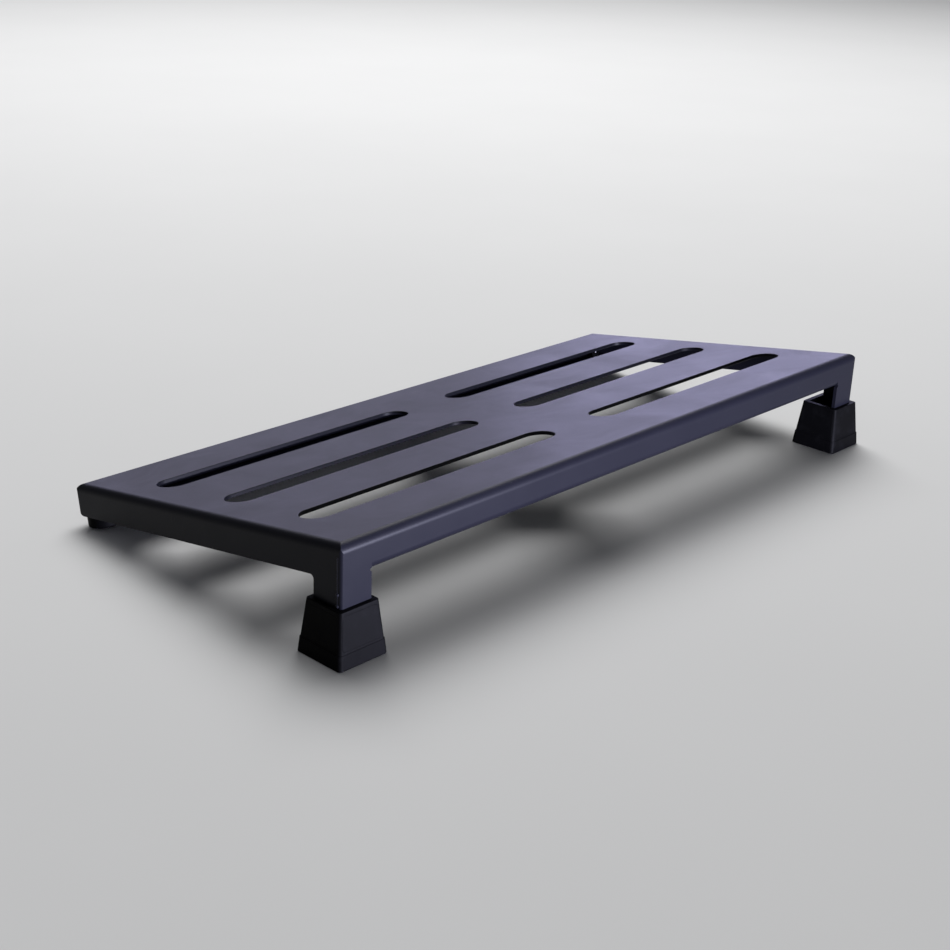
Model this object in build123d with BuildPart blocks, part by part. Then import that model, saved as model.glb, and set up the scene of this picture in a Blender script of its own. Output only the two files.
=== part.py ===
# A low, one-piece pedalboard folded from sheet steel. The deck slopes toward
# the low side; two angle legs under the high side stand in square rubber leg
# tips, and the low side rests on two screwed-on rubber pucks.
# Millimetres. X runs along the long side, -Y is the high side, Z is up.
import math
import os

from build123d import *

os.makedirs("parts", exist_ok=True)

# ---- deck ----
board_length = 600.0
board_depth = 300.0
sheet = 3.0
pitch = 10.0
high_edge = 83.8
flange = 24.3
bend_outer = 6.0
bend_inner = bend_outer - sheet
corner_round = 2.4
lip_width = 30.0
lip_side_gap = 1.5

# ---- slots ----
slot_length = 246.0
slot_width = 25.4
slot_end_margin = 27.4
row_pitch = 80.5
slot_edge_break = 0.5

# ---- legs ----
leg_face = 26.0
leg_inner_round = 3.0
relief_radius = 1.3

# ---- square rubber leg tips ----
tip_height = 38.9
tip_floor = 6.0
tip_base = 42.4
tip_collar_height = 10.8
tip_collar_top = 40.5
tip_sleeve_low = 39.7
tip_rim = 33.6
tip_corner = 3.0
tip_rim_edge = 0.6
tip_base_edge = 0.8

# ---- rubber pucks under the low side ----
puck_radius = 12.0
puck_height = 8.6
puck_from_end = 12.3
puck_from_low = 13.0
puck_edge = 1.8
puck_recess_radius = 4.9
puck_recess_depth = 3.6

# ---- puck screws, washers, nuts (M4) ----
screw_radius = 2.0
screw_head_radius = 4.0
screw_head_height = 2.5
screw_length = 15.5
socket_radius = 1.3
socket_depth = 1.4
screw_clear_radius = 2.2
washer_radius = 4.6
washer_thickness = 0.8
nut_across_flats = 7.0
nut_height = 3.2

# ---- corner welds ----
bead_radius = 0.9
bead_proud = 0.35
blob_radius = 1.5

# ---- derived ----
sin_p = math.sin(math.radians(pitch))
cos_p = math.cos(math.radians(pitch))
half_length = board_length / 2
tip_taper = math.atan((tip_base - tip_collar_top) / 2 / tip_collar_height)
tip_reach = tip_base / 2 - tip_base_edge * (math.tan(tip_taper) + 1 / math.cos(tip_taper) - 1)
tip_overhang = tip_reach - leg_face / 2
low_round_y = (board_depth - bend_outer) * cos_p - bend_outer * sin_p + bend_outer
front_y = -(low_round_y - tip_overhang) / 2
leg_centre_x = half_length - leg_face / 2
leg_centre_y = front_y + leg_face / 2
slot_x = half_length - slot_end_margin - slot_length / 2
row_mid = board_depth / 2
row_positions = (row_mid - row_pitch, row_mid, row_mid + row_pitch)
puck_x = half_length - puck_from_end
puck_v = board_depth - puck_from_low
seam_y = front_y + sheet + bead_radius * 0.6
bead_x = half_length - bead_radius + bead_proud
bead_low = tip_height + 0.3
bead_high = high_edge - bend_outer - 3.5
blob_heights = (tip_height + 1.6, tip_height + 9.5)

# deck top plane: local x along the board, local y down the slope, local z out of the deck
deck_top = Plane(
    origin=(0, front_y, high_edge),
    x_dir=(1, 0, 0),
    z_dir=(0, sin_p, cos_p),
)
lip_under = deck_top.offset(-flange)

# plane square to the slope, just beyond the high side: local y down from the deck top
slope_start = Plane(
    origin=(0, front_y - 10 * cos_p, high_edge + 10 * sin_p),
    x_dir=(1, 0, 0),
    z_dir=(0, cos_p, -sin_p),
)


def slope_point(along, down):
    """World (y, z) of a point `along` the slope and `down` below the deck top."""
    y = front_y + along * cos_p - down * sin_p
    z = high_edge - along * sin_p - down * cos_p
    return y, z


# side view of the folded shell, outside
top_high = slope_point(0, 0)
top_low = slope_point(board_depth, 0)
bottom_low = slope_point(board_depth, flange)
bottom_high = (front_y, high_edge - flange / cos_p)

# side view of the hollow, inside the sheet
inner_high_z = high_edge - (sheet / cos_p) - sheet * math.tan(math.radians(pitch))
inner_top_high = (front_y + sheet, inner_high_z)
inner_top_low = slope_point(board_depth - sheet, sheet)
inner_bottom_low = slope_point(board_depth - sheet, flange - sheet)
lip_edge_top = slope_point(board_depth - lip_width, flange - sheet)
lip_edge_under = slope_point(board_depth - lip_width, flange + 5)
inner_under_high = (front_y + sheet, high_edge - flange / cos_p - 12)

# ------------------------------------------------------------------
# deck: one folded sheet with flanges, return lip, legs and six slots
# ------------------------------------------------------------------
with BuildPart() as deck:
    # outside of the folded shell
    with BuildSketch(Plane.YZ):
        with BuildLine():
            Polyline(top_high, top_low, bottom_low, bottom_high, close=True)
        make_face()
    extrude(amount=half_length, both=True)

    # legs, solid for now
    for side in (-1, 1):
        with BuildSketch(Plane.XY.offset(tip_floor)):
            with Locations((side * leg_centre_x, leg_centre_y)):
                Rectangle(leg_face, leg_face)
        extrude(amount=high_edge - flange / cos_p - tip_floor + 6)

    # bends along the four top edges and along the low side's bottom edge
    along_x = deck.edges().filter_by(Axis.X)
    long_bends = along_x.filter_by(
        lambda e: e.length > 500
        and (e.center().Z > top_low[1] - 0.5 or e.center().Y > bottom_low[0] - 0.5)
    )
    fillet(long_bends, bend_outer)

    # bends along both ends, run down the slope
    with BuildSketch(slope_start):
        for side in (-1, 1):
            with Locations((side * (half_length - (bend_outer - 1) / 2), (bend_outer - 1) / 2)):
                Rectangle(bend_outer + 1, bend_outer + 1)
            with Locations((side * (half_length - bend_outer), bend_outer)):
                Circle(bend_outer, mode=Mode.SUBTRACT)
    extrude(amount=board_depth + 20, mode=Mode.SUBTRACT)

    # rounded outside corners of the low side
    with BuildSketch(deck_top.offset(5)):
        for side in (-1, 1):
            low_corner_x = side * (half_length - (corner_round - 1) / 2)
            with Locations((low_corner_x, board_depth - (corner_round - 1) / 2)):
                Rectangle(corner_round + 1, corner_round + 1)
            with Locations((side * (half_length - corner_round), board_depth - corner_round)):
                Circle(corner_round, mode=Mode.SUBTRACT)
    extrude(amount=-(flange + 15), mode=Mode.SUBTRACT)

    # ground outside corners of the high side, from the deck down to the leg ends
    with BuildSketch(Plane.XY.offset(tip_floor)):
        for side in (-1, 1):
            with Locations((side * (half_length - corner_round / 2), front_y + corner_round / 2)):
                Rectangle(corner_round, corner_round)
            with Locations((side * (half_length - corner_round), front_y + corner_round)):
                Circle(corner_round, mode=Mode.SUBTRACT)
    extrude(amount=high_edge, mode=Mode.SUBTRACT)

    # hollow under the deck, keeping the return lip of the low side
    with BuildPart(mode=Mode.PRIVATE) as hollow:
        with BuildSketch(Plane.YZ):
            with BuildLine():
                Polyline(
                    inner_top_high,
                    inner_top_low,
                    inner_bottom_low,
                    lip_edge_top,
                    lip_edge_under,
                    inner_under_high,
                    close=True,
                )
            make_face()
        extrude(amount=half_length - sheet, both=True)
        inner_long = hollow.edges().filter_by(Axis.X)
        inner_bends = inner_long.filter_by(
            lambda e: e.center().Z > inner_top_low[1] - 0.5
            or e.center().Y > inner_bottom_low[0] - 0.5
        )
        fillet(inner_bends, bend_inner)
        inner_ends = hollow.faces().filter_by(Axis.X).edges()
        inner_sides = inner_ends.filter_by(
            lambda e: e.length > 250 and e.center().Z > (top_high[1] + top_low[1]) / 2 - 9
        )
        fillet(inner_sides, bend_inner)
    add(hollow.part, mode=Mode.SUBTRACT)

    # small gaps between the return lip and the end flanges
    for side in (-1, 1):
        gap_x = side * (half_length - sheet - lip_side_gap / 2)
        with BuildSketch(lip_under):
            with Locations((gap_x, board_depth - lip_width / 2 - bend_outer / 2)):
                Rectangle(lip_side_gap, lip_width - bend_outer)
        extrude(amount=sheet, mode=Mode.SUBTRACT)

    # open the legs out to an angle section
    for side in (-1, 1):
        cut_x = side * (half_length - sheet - leg_face / 2)
        cut_y = front_y + sheet + leg_face / 2
        with BuildSketch(Plane.XY.offset(tip_floor)):
            with Locations((cut_x, cut_y)):
                Rectangle(leg_face, leg_face)
        extrude(amount=high_edge - flange / cos_p - tip_floor - 1, mode=Mode.SUBTRACT)

    # six obround slots
    with BuildSketch(deck_top):
        for side in (-1, 1):
            for row in row_positions:
                with Locations((side * slot_x, row)):
                    SlotOverall(slot_length, slot_width)
    extrude(amount=-2 * sheet, mode=Mode.SUBTRACT)

    # screw holes in the return lip
    with BuildSketch(lip_under):
        with Locations((-puck_x, puck_v), (puck_x, puck_v)):
            Circle(screw_clear_radius)
    extrude(amount=1.5 * sheet, both=True, mode=Mode.SUBTRACT)

    # small relief notches where the high flange meets each leg
    with BuildSketch(Plane.XZ.offset(-front_y)):
        for side in (-1, 1):
            with Locations((side * (half_length - leg_face), high_edge - flange / cos_p)):
                Circle(relief_radius)
    extrude(amount=-sheet, mode=Mode.SUBTRACT)

    # rounded inside corners where the end flanges meet the legs
    crotch = deck.edges().filter_by(Axis.X).filter_by(
        lambda e: abs(e.length - sheet) < 0.1
        and abs(e.center().Y - front_y - leg_face) < 0.05
        and e.center().Z > tip_height
    )
    fillet(crotch, leg_inner_round)

    # softened slot edges
    slot_edges = deck.faces().filter_by(
        lambda f: abs(f.normal_at().dot(deck_top.z_dir)) > 0.999 and f.area > 50000
    )
    slot_rims = ShapeList()
    for face in slot_edges:
        for wire in face.inner_wires():
            slot_rims.extend(wire.edges())
    fillet(slot_rims, slot_edge_break)

    # seats of the corner welds
    for side in (-1, 1):
        with BuildSketch(Plane.XY.offset(bead_low)):
            with Locations((side * bead_x, seam_y)):
                Circle(bead_radius)
        extrude(amount=bead_high - bead_low, mode=Mode.SUBTRACT)
        with Locations([(side * bead_x, seam_y, z) for z in blob_heights]):
            Sphere(blob_radius, mode=Mode.SUBTRACT)

deck.part.label = "deck"
export_step(deck.part, "parts/deck.step")

# ------------------------------------------------------------------
# corner welds of the high side: a thin bead with two heavier spots each
# ------------------------------------------------------------------
with BuildPart() as corner_welds:
    for side in (-1, 1):
        with BuildSketch(Plane.XY.offset(bead_low)):
            with Locations((side * bead_x, seam_y)):
                Circle(bead_radius)
        extrude(amount=bead_high - bead_low)
        with Locations([(side * bead_x, seam_y, z) for z in blob_heights]):
            Sphere(blob_radius)

corner_welds.part.label = "corner_welds"
export_step(corner_welds.part, "parts/corner_welds.step")

# ------------------------------------------------------------------
# square rubber leg tips
# ------------------------------------------------------------------
with BuildPart() as leg_tip_left:
    with BuildSketch(Plane.XY):
        with Locations((-leg_centre_x, leg_centre_y)):
            RectangleRounded(tip_base, tip_base, tip_corner)
    with BuildSketch(Plane.XY.offset(tip_collar_height)):
        with Locations((-leg_centre_x, leg_centre_y)):
            RectangleRounded(tip_collar_top, tip_collar_top, tip_corner)
    loft()
    with BuildSketch(Plane.XY.offset(tip_collar_height)):
        with Locations((-leg_centre_x, leg_centre_y)):
            RectangleRounded(tip_sleeve_low, tip_sleeve_low, tip_corner)
    with BuildSketch(Plane.XY.offset(tip_height)):
        with Locations((-leg_centre_x, leg_centre_y)):
            RectangleRounded(tip_rim, tip_rim, tip_corner * 0.8)
    loft()
    with BuildSketch(Plane.XY.offset(tip_floor)):
        with Locations((-leg_centre_x, leg_centre_y)):
            Rectangle(leg_face, leg_face)
    extrude(amount=tip_height, mode=Mode.SUBTRACT)
    rim_edges = leg_tip_left.faces().filter_by(Axis.Z).sort_by(Axis.Z)[-1].outer_wire().edges()
    fillet(rim_edges, tip_rim_edge)
    base_edges = leg_tip_left.faces().filter_by(Axis.Z).sort_by(Axis.Z)[0].outer_wire().edges()
    fillet(base_edges, tip_base_edge)

leg_tip_left.part.label = "leg_tip_left"
export_step(leg_tip_left.part, "parts/leg_tip_left.step")

with BuildPart() as leg_tip_right:
    add(leg_tip_left.part.mirror(Plane.YZ))

leg_tip_right.part.label = "leg_tip_right"
export_step(leg_tip_right.part, "parts/leg_tip_right.step")

# ------------------------------------------------------------------
# rubber pucks under the low side, square to the deck, flattened where they meet the floor
# ------------------------------------------------------------------
with BuildPart() as puck_left:
    with BuildSketch(lip_under):
        with Locations((-puck_x, puck_v)):
            Circle(puck_radius)
    extrude(amount=-puck_height)
    fillet(puck_left.edges().filter_by(GeomType.CIRCLE).sort_by(Axis.Z)[0], puck_edge)
    with BuildSketch(lip_under):
        with Locations((-puck_x, puck_v)):
            Circle(screw_clear_radius)
    extrude(amount=-puck_height, mode=Mode.SUBTRACT)
    with BuildSketch(lip_under.offset(-puck_height)):
        with Locations((-puck_x, puck_v)):
            Circle(puck_recess_radius)
    extrude(amount=puck_recess_depth, mode=Mode.SUBTRACT)
    split(bisect_by=Plane.XY, keep=Keep.TOP)

puck_left.part.label = "puck_left"
export_step(puck_left.part, "parts/puck_left.step")

with BuildPart() as puck_right:
    add(puck_left.part.mirror(Plane.YZ))

puck_right.part.label = "puck_right"
export_step(puck_right.part, "parts/puck_right.step")

# ------------------------------------------------------------------
# puck screws: cheese heads in the pucks, shanks up through the lip
# ------------------------------------------------------------------
head_under = lip_under.offset(-puck_height + puck_recess_depth)

with BuildPart() as puck_screws:
    with BuildSketch(head_under):
        with Locations((-puck_x, puck_v), (puck_x, puck_v)):
            Circle(screw_head_radius)
    extrude(amount=-screw_head_height)
    head_rims = puck_screws.edges().filter_by(GeomType.CIRCLE)
    lower_rims = head_rims.filter_by(
        lambda e: head_under.to_local_coords(e.center()).Z < -screw_head_height + 0.1
    )
    fillet(lower_rims, 0.6)
    with BuildSketch(head_under):
        with Locations((-puck_x, puck_v), (puck_x, puck_v)):
            Circle(screw_radius)
    extrude(amount=screw_length)
    with BuildSketch(head_under.offset(-screw_head_height)):
        with Locations((-puck_x, puck_v), (puck_x, puck_v)):
            RegularPolygon(socket_radius, 6)
    extrude(amount=socket_depth, mode=Mode.SUBTRACT)

puck_screws.part.label = "puck_screws"
export_step(puck_screws.part, "parts/puck_screws.step")

# ------------------------------------------------------------------
# washers and nuts on top of the lip
# ------------------------------------------------------------------
lip_top = lip_under.offset(sheet)

with BuildPart() as puck_washers:
    with BuildSketch(lip_top):
        with Locations((-puck_x, puck_v), (puck_x, puck_v)):
            Circle(washer_radius)
            Circle(screw_clear_radius, mode=Mode.SUBTRACT)
    extrude(amount=washer_thickness)

puck_washers.part.label = "puck_washers"
export_step(puck_washers.part, "parts/puck_washers.step")

with BuildPart() as puck_nuts:
    with BuildSketch(lip_top.offset(washer_thickness)):
        with Locations((-puck_x, puck_v), (puck_x, puck_v)):
            RegularPolygon(nut_across_flats / 2, 6, major_radius=False)
            Circle(screw_radius, mode=Mode.SUBTRACT)
    extrude(amount=nut_height)

puck_nuts.part.label = "puck_nuts"
export_step(puck_nuts.part, "parts/puck_nuts.step")
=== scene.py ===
import math

import bpy
from mathutils import Matrix, Vector

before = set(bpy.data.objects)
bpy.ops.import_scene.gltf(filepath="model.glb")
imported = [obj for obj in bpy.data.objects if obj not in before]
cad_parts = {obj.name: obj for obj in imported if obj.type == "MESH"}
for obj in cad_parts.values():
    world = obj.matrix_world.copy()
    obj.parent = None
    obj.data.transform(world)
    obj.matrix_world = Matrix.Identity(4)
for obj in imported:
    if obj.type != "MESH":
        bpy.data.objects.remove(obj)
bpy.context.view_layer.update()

# materials
RUBBER_BLOOM = 0.04
TIP_OUTLINE_CENTRE_Z = 0.0242
TIP_OUTLINE_HALF_HEIGHT = 0.0119
TIP_OUTLINE_INSET = 0.0022
TIP_OUTLINE_CORNER = 0.003
TIP_OUTLINE_LINE = 0.0003

# studio sweep, in metres; it runs along the camera's heading
SWEEP_REACH_NEAR = 7.0
SWEEP_FLAT = 8.0
SWEEP_RISE = 3.0
SWEEP_TOP = 9.0
SWEEP_HALF_WIDTH = 14.0
SWEEP_STEPS = 24
HEADING = 0.707

# light
AIM = Vector((0.0, 0.0, 0.05))
SHEEN_DISTANCE = 5.5
SHEEN_HEIGHT = 1.25
WORLD_COLOUR = (0.92, 0.94, 1.0, 1.0)
WORLD_STRENGTH = 0.14

# camera
CAMERA_AT = Vector((-0.9013, -0.8096, 0.4987))
CAMERA_FORWARD = Vector((0.67859, 0.63002, -0.37763))
CAMERA_RIGHT = Vector((0.69109, -0.72178, 0.03769))
CAMERA_LENS = 60.66
CAMERA_SENSOR = 36.0
CAMERA_SHIFT_X = 0.0019
CAMERA_NEAR = 0.01
CAMERA_FAR = 60.0


# ------------------------------------------------------------------ node helpers
class Graph:
    """A small wrapper that builds a material's node tree."""

    def __init__(self, name):
        self.mat = bpy.data.materials.new(name)
        self.mat.use_nodes = True
        self.tree = self.mat.node_tree
        self.shader = next(n for n in self.tree.nodes if n.type == "BSDF_PRINCIPLED")
        coords = self.node("ShaderNodeTexCoord")
        self.place = coords.outputs["Object"]
        self.normal = self.node("ShaderNodeNewGeometry").outputs["Normal"]

    def node(self, kind, **settings):
        made = self.tree.nodes.new(kind)
        for key, value in settings.items():
            setattr(made, key, value)
        return made

    def put(self, socket, value):
        if isinstance(value, bpy.types.NodeSocket):
            self.tree.links.new(value, socket)
        else:
            socket.default_value = value

    def math(self, kind, a, b=0.0, clamp=False):
        made = self.node("ShaderNodeMath", operation=kind, use_clamp=clamp)
        self.put(made.inputs[0], a)
        self.put(made.inputs[1], b)
        return made.outputs[0]

    def scaled(self, sizes, turn=(0.0, 0.0, 0.0)):
        made = self.node("ShaderNodeMapping")
        self.put(made.inputs["Vector"], self.place)
        made.inputs["Scale"].default_value = sizes
        made.inputs["Rotation"].default_value = turn
        return made.outputs[0]

    def noise(self, scale, detail=3.0, rough=0.55, where=None, distort=0.0):
        made = self.node("ShaderNodeTexNoise")
        self.put(made.inputs["Vector"], where or self.place)
        made.inputs["Scale"].default_value = scale
        made.inputs["Detail"].default_value = detail
        made.inputs["Roughness"].default_value = rough
        made.inputs["Distortion"].default_value = distort
        return made.outputs["Fac"]

    def ramp(self, value, low, high, out_low=0.0, out_high=1.0):
        made = self.node("ShaderNodeMapRange")
        self.put(made.inputs["Value"], value)
        made.inputs["From Min"].default_value = low
        made.inputs["From Max"].default_value = high
        made.inputs["To Min"].default_value = out_low
        made.inputs["To Max"].default_value = out_high
        return made.outputs["Result"]

    def mix(self, factor, a, b):
        made = self.node("ShaderNodeMix", data_type="RGBA")
        self.put(made.inputs[0], factor)
        self.put(made.inputs[6], a)
        self.put(made.inputs[7], b)
        return made.outputs[2]

    def bump(self, height, distance, strength=1.0, below=None):
        made = self.node("ShaderNodeBump")
        self.put(made.inputs["Height"], height)
        made.inputs["Distance"].default_value = distance
        made.inputs["Strength"].default_value = strength
        if below is not None:
            self.put(made.inputs["Normal"], below)
        return made.outputs["Normal"]

    def facing(self, axis):
        split = self.node("ShaderNodeSeparateXYZ")
        self.put(split.inputs[0], self.normal)
        return split.outputs[axis]


def colour(r, g, b):
    return (r, g, b, 1.0)


# ------------------------------------------------------------------ materials
def powder_coat():
    """Black satin powder coat over folded sheet: fine orange peel, faint scratches, dust."""
    g = Graph("deck_powder_coat")
    cloud = g.noise(9.0, 4.0)
    base = g.mix(cloud, colour(0.0038, 0.0039, 0.0066), colour(0.0054, 0.0055, 0.0086))

    scratch_a = g.noise(1.0, 2.0, 0.6, g.scaled((14.0, 900.0, 60.0), (0.0, 0.0, 0.5)))
    scratch_b = g.noise(1.0, 2.0, 0.6, g.scaled((700.0, 10.0, 60.0), (0.0, 0.0, -0.22)))
    lines_a = g.ramp(scratch_a, 0.735, 0.76)
    lines_b = g.ramp(scratch_b, 0.74, 0.765)
    patches = g.ramp(g.noise(6.0, 2.0), 0.5, 0.68)
    lines = g.math("MULTIPLY", g.math("MAXIMUM", lines_a, lines_b), patches)

    speck = g.ramp(g.noise(1300.0, 1.0, 0.5), 0.80, 0.84)
    speck_area = g.ramp(g.noise(22.0, 2.0), 0.45, 0.7)
    up = g.ramp(g.facing(2), 0.6, 0.95)
    dust = g.math("MULTIPLY", g.math("MULTIPLY", speck, speck_area), up)

    marks = g.math("ADD", g.math("MULTIPLY", lines, 0.10), g.math("MULTIPLY", dust, 0.55), clamp=True)
    g.put(g.shader.inputs["Base Color"], g.mix(marks, base, colour(0.26, 0.26, 0.28)))

    smudge = g.noise(17.0, 5.0, 0.62, None, 0.6)
    rough = g.ramp(smudge, 0.3, 0.72, 0.38, 0.46)
    rough = g.math("ADD", rough, g.math("MULTIPLY", lines, 0.12))
    g.put(g.shader.inputs["Roughness"], rough)

    peel = g.noise(620.0, 2.0, 0.5)
    grain = g.noise(2600.0, 1.0, 0.5)
    fold = g.noise(5.0, 1.0)
    n1 = g.bump(fold, 0.004, 0.10)
    n2 = g.bump(peel, 0.00035, 0.10, n1)
    n3 = g.bump(grain, 0.0001, 0.10, n2)
    n4 = g.bump(lines, -0.00006, 0.5, n3)
    g.put(g.shader.inputs["Normal"], n4)
    g.shader.inputs["IOR"].default_value = 1.5
    g.shader.inputs["Specular IOR Level"].default_value = 0.09
    return g.mat


def moulded_rubber(name, tone, rough_low, rough_high, panel=None):
    """Matt black moulded rubber with bloom, grain and flow streaks, and a panel outline if one is given."""
    g = Graph(name)
    cloud = g.noise(38.0, 4.0)
    bloom = g.ramp(g.noise(75.0, 5.0, 0.65), 0.52, 0.8)
    dark = colour(tone, tone, tone * 1.15)
    light = colour(tone * 1.7, tone * 1.7, tone * 2.0)
    base = g.mix(cloud, dark, light)
    base = g.mix(g.math("MULTIPLY", bloom, RUBBER_BLOOM), base, colour(0.05, 0.05, 0.056))
    g.put(g.shader.inputs["Base Color"], base)
    streak = g.noise(1.0, 2.0, 0.5, g.scaled((260.0, 260.0, 24.0)))
    rough = g.ramp(cloud, 0.3, 0.7, rough_low, rough_high)
    rough = g.math("ADD", rough, g.math("MULTIPLY", streak, 0.08))
    g.put(g.shader.inputs["Roughness"], rough)
    n1 = g.bump(streak, 0.0004, 0.18)
    n2 = g.bump(g.noise(1500.0, 3.0), 0.00025, 0.28, n1)
    if panel is not None:
        n2 = g.bump(outline(g, *panel), -0.0004, 0.45, n2)
    g.put(g.shader.inputs["Normal"], n2)
    g.shader.inputs["IOR"].default_value = 1.5
    g.shader.inputs["Specular IOR Level"].default_value = 0.03
    return g.mat


def outline(g, centre_x, centre_y):
    """A fine groove that draws a rounded rectangle on each of a tip's four faces, by signed distance."""
    split = g.node("ShaderNodeSeparateXYZ")
    g.put(split.inputs[0], g.place)
    across = g.math("ABSOLUTE", g.math("SUBTRACT", g.math("ABSOLUTE", split.outputs[0]), centre_x))
    along = g.math("ABSOLUTE", g.math("SUBTRACT", split.outputs[1], centre_y))
    up = g.math("ABSOLUTE", g.math("SUBTRACT", split.outputs[2], TIP_OUTLINE_CENTRE_Z))
    edge = g.math("SUBTRACT", g.math("MINIMUM", across, along), g.math("MAXIMUM", across, along))
    q = g.math("ADD", edge, TIP_OUTLINE_INSET + TIP_OUTLINE_CORNER)
    h = g.math("SUBTRACT", up, TIP_OUTLINE_HALF_HEIGHT - TIP_OUTLINE_CORNER)
    q_out = g.math("POWER", g.math("MAXIMUM", q, 0.0), 2.0)
    h_out = g.math("POWER", g.math("MAXIMUM", h, 0.0), 2.0)
    outside = g.math("SQRT", g.math("ADD", q_out, h_out))
    inside = g.math("MINIMUM", g.math("MAXIMUM", q, h), 0.0)
    gap = g.math("SUBTRACT", g.math("ADD", outside, inside), TIP_OUTLINE_CORNER)
    return g.ramp(g.math("ABSOLUTE", gap), 0.0, TIP_OUTLINE_LINE, 1.0, 0.0)


def painted_weld():
    """The same coat over a lumpy weld bead."""
    g = Graph("weld_coat")
    ripple = g.noise(1.0, 2.0, 0.6, g.scaled((500.0, 500.0, 900.0)))
    base = g.mix(ripple, colour(0.005, 0.005, 0.009), colour(0.018, 0.018, 0.025))
    g.put(g.shader.inputs["Base Color"], base)
    g.put(g.shader.inputs["Roughness"], g.ramp(ripple, 0.3, 0.7, 0.30, 0.44))
    g.put(g.shader.inputs["Normal"], g.bump(ripple, 0.0009, 0.7))
    g.shader.inputs["Specular IOR Level"].default_value = 0.15
    return g.mat


def zinc_plate():
    """Black zinc-plated steel with brushed turning marks."""
    g = Graph("zinc_steel")
    mottle = g.noise(420.0, 3.0)
    base = g.mix(mottle, colour(0.022, 0.022, 0.025), colour(0.042, 0.041, 0.043))
    g.put(g.shader.inputs["Base Color"], base)
    g.shader.inputs["Metallic"].default_value = 1.0
    g.put(g.shader.inputs["Roughness"], g.ramp(mottle, 0.3, 0.7, 0.24, 0.40))
    turning = g.noise(1.0, 2.0, 0.5, g.scaled((3000.0, 3000.0, 400.0)))
    g.put(g.shader.inputs["Normal"], g.bump(turning, 0.0001, 0.3))
    return g.mat


def dress(names, material):
    """Give CAD nodes a better material through their slots. Their meshes are not touched."""
    for name in names:
        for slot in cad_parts[name].material_slots:
            slot.material = material


dress(["deck"], powder_coat())
dress(["corner_welds"], painted_weld())
tip_points = [v.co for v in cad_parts["leg_tip_right"].data.vertices]
tip_x = (min(p.x for p in tip_points) + max(p.x for p in tip_points)) / 2
tip_y = (min(p.y for p in tip_points) + max(p.y for p in tip_points)) / 2
tip_rubber = moulded_rubber("tip_rubber", 0.0010, 0.44, 0.54, panel=(tip_x, tip_y))
dress(["leg_tip_left", "leg_tip_right"], tip_rubber)
dress(["puck_left", "puck_right"], moulded_rubber("puck_rubber", 0.0014, 0.52, 0.64))
dress(["puck_screws", "puck_washers", "puck_nuts"], zinc_plate())


# ------------------------------------------------------------------ floor
def pale_floor():
    """A pale studio sweep: a flat floor that curves up into a wall far behind the board."""
    mesh = bpy.data.meshes.new("floor")
    away = Vector((HEADING, HEADING))
    side = Vector((HEADING, -HEADING))
    profile = [(-SWEEP_REACH_NEAR, 0.0), (SWEEP_FLAT, 0.0)]
    for i in range(1, SWEEP_STEPS + 1):
        a = math.pi / 2 * i / SWEEP_STEPS
        profile.append((SWEEP_FLAT + SWEEP_RISE * math.sin(a), SWEEP_RISE * (1 - math.cos(a))))
    profile.append((SWEEP_FLAT + SWEEP_RISE, SWEEP_TOP))
    points = []
    for along, z in profile:
        for s in (-SWEEP_HALF_WIDTH, SWEEP_HALF_WIDTH):
            spot = away * along + side * s
            points.append((spot.x, spot.y, z))
    faces = [(2 * i, 2 * i + 1, 2 * i + 3, 2 * i + 2) for i in range(len(profile) - 1)]
    mesh.from_pydata(points, [], faces)
    for face in mesh.polygons:
        face.use_smooth = True
    floor = bpy.data.objects.new("floor", mesh)
    bpy.context.scene.collection.objects.link(floor)
    g = Graph("pale_floor")
    tint = g.noise(3.0, 3.0)
    base = g.mix(tint, colour(0.66, 0.66, 0.66), colour(0.69, 0.69, 0.69))
    g.put(g.shader.inputs["Base Color"], base)
    g.shader.inputs["Roughness"].default_value = 0.9
    g.shader.inputs["Specular IOR Level"].default_value = 0.15
    mesh.materials.append(g.mat)
    return floor


pale_floor()


# ------------------------------------------------------------------ light
def soft_panel(name, at, aim, width, height, watts, tint=(1.0, 1.0, 1.0)):
    """A rectangular area light, hidden from the camera, that faces a point."""
    data = bpy.data.lights.new(name, "AREA")
    data.shape = "RECTANGLE"
    data.size = width
    data.size_y = height
    data.energy = watts
    data.color = tint
    lamp = bpy.data.objects.new(name, data)
    bpy.context.scene.collection.objects.link(lamp)
    spot = Vector(at)
    way = Vector(aim) - spot
    lamp.matrix_world = Matrix.Translation(spot) @ way.to_track_quat("-Z", "Y").to_matrix().to_4x4()
    lamp.visible_camera = False
    return lamp


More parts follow.
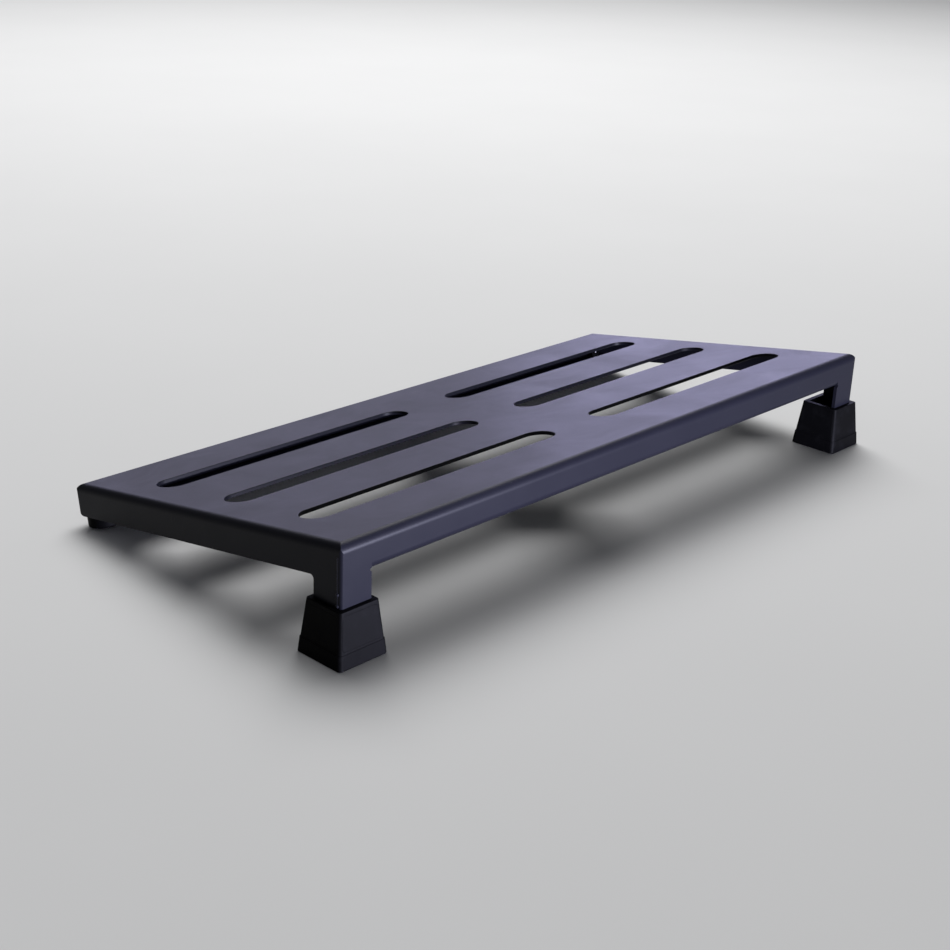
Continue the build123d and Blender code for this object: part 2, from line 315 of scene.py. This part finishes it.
def round_about(azimuth, distance, height):
    """A spot at an azimuth measured from +Y and turning towards +X, in degrees and metres."""
    turned = math.radians(azimuth)
    return (distance * math.sin(turned), distance * math.cos(turned), height)


only_pieces = bpy.data.collections.new("only_pieces")
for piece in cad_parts.values():
    only_pieces.objects.link(piece)

dim_at = round_about(28.0, SHEEN_DISTANCE, SHEEN_HEIGHT)
bright_at = round_about(62.0, SHEEN_DISTANCE, SHEEN_HEIGHT)
front_at = (-0.03, -0.85, 0.1)
front_aim = (-0.15, -0.14, 0.06)

# these three light the board only, so the floor stays an even neutral grey
accents = [
    soft_panel("sheen_dim", dim_at, AIM, 2.9, 2.0, 34.0, (0.66, 0.64, 1.0)),
    soft_panel("sheen_bright", bright_at, AIM, 3.4, 2.0, 112.0, (0.64, 0.62, 1.0)),
    soft_panel("front_panel", front_at, front_aim, 0.5, 0.16, 40.0, (0.76, 0.77, 1.0)),
]
for panel in accents:
    panel.light_linking.receiver_collection = only_pieces
soft_panel("top_panel", (1.7, 1.9, 3.6), AIM, 3.4, 3.4, 220.0)

world = bpy.data.worlds.new("studio")
bpy.context.scene.world = world
world.use_nodes = True
backdrop = next(n for n in world.node_tree.nodes if n.type == "BACKGROUND")
backdrop.inputs["Color"].default_value = WORLD_COLOUR
backdrop.inputs["Strength"].default_value = WORLD_STRENGTH

# ------------------------------------------------------------------ camera
camera_data = bpy.data.cameras.new("camera")
camera_data.sensor_width = CAMERA_SENSOR
camera_data.lens = CAMERA_LENS
camera_data.shift_x = CAMERA_SHIFT_X
camera_data.clip_start = CAMERA_NEAR
camera_data.clip_end = CAMERA_FAR
camera = bpy.data.objects.new("camera", camera_data)
bpy.context.scene.collection.objects.link(camera)
forward = CAMERA_FORWARD.normalized()
right = CAMERA_RIGHT.normalized()
up = right.cross(forward).normalized()
turn = Matrix((right, up, -forward)).transposed().to_4x4()
camera.matrix_world = Matrix.Translation(CAMERA_AT) @ turn
bpy.context.scene.camera = camera

bpy.context.scene.view_settings.view_transform = "Standard"
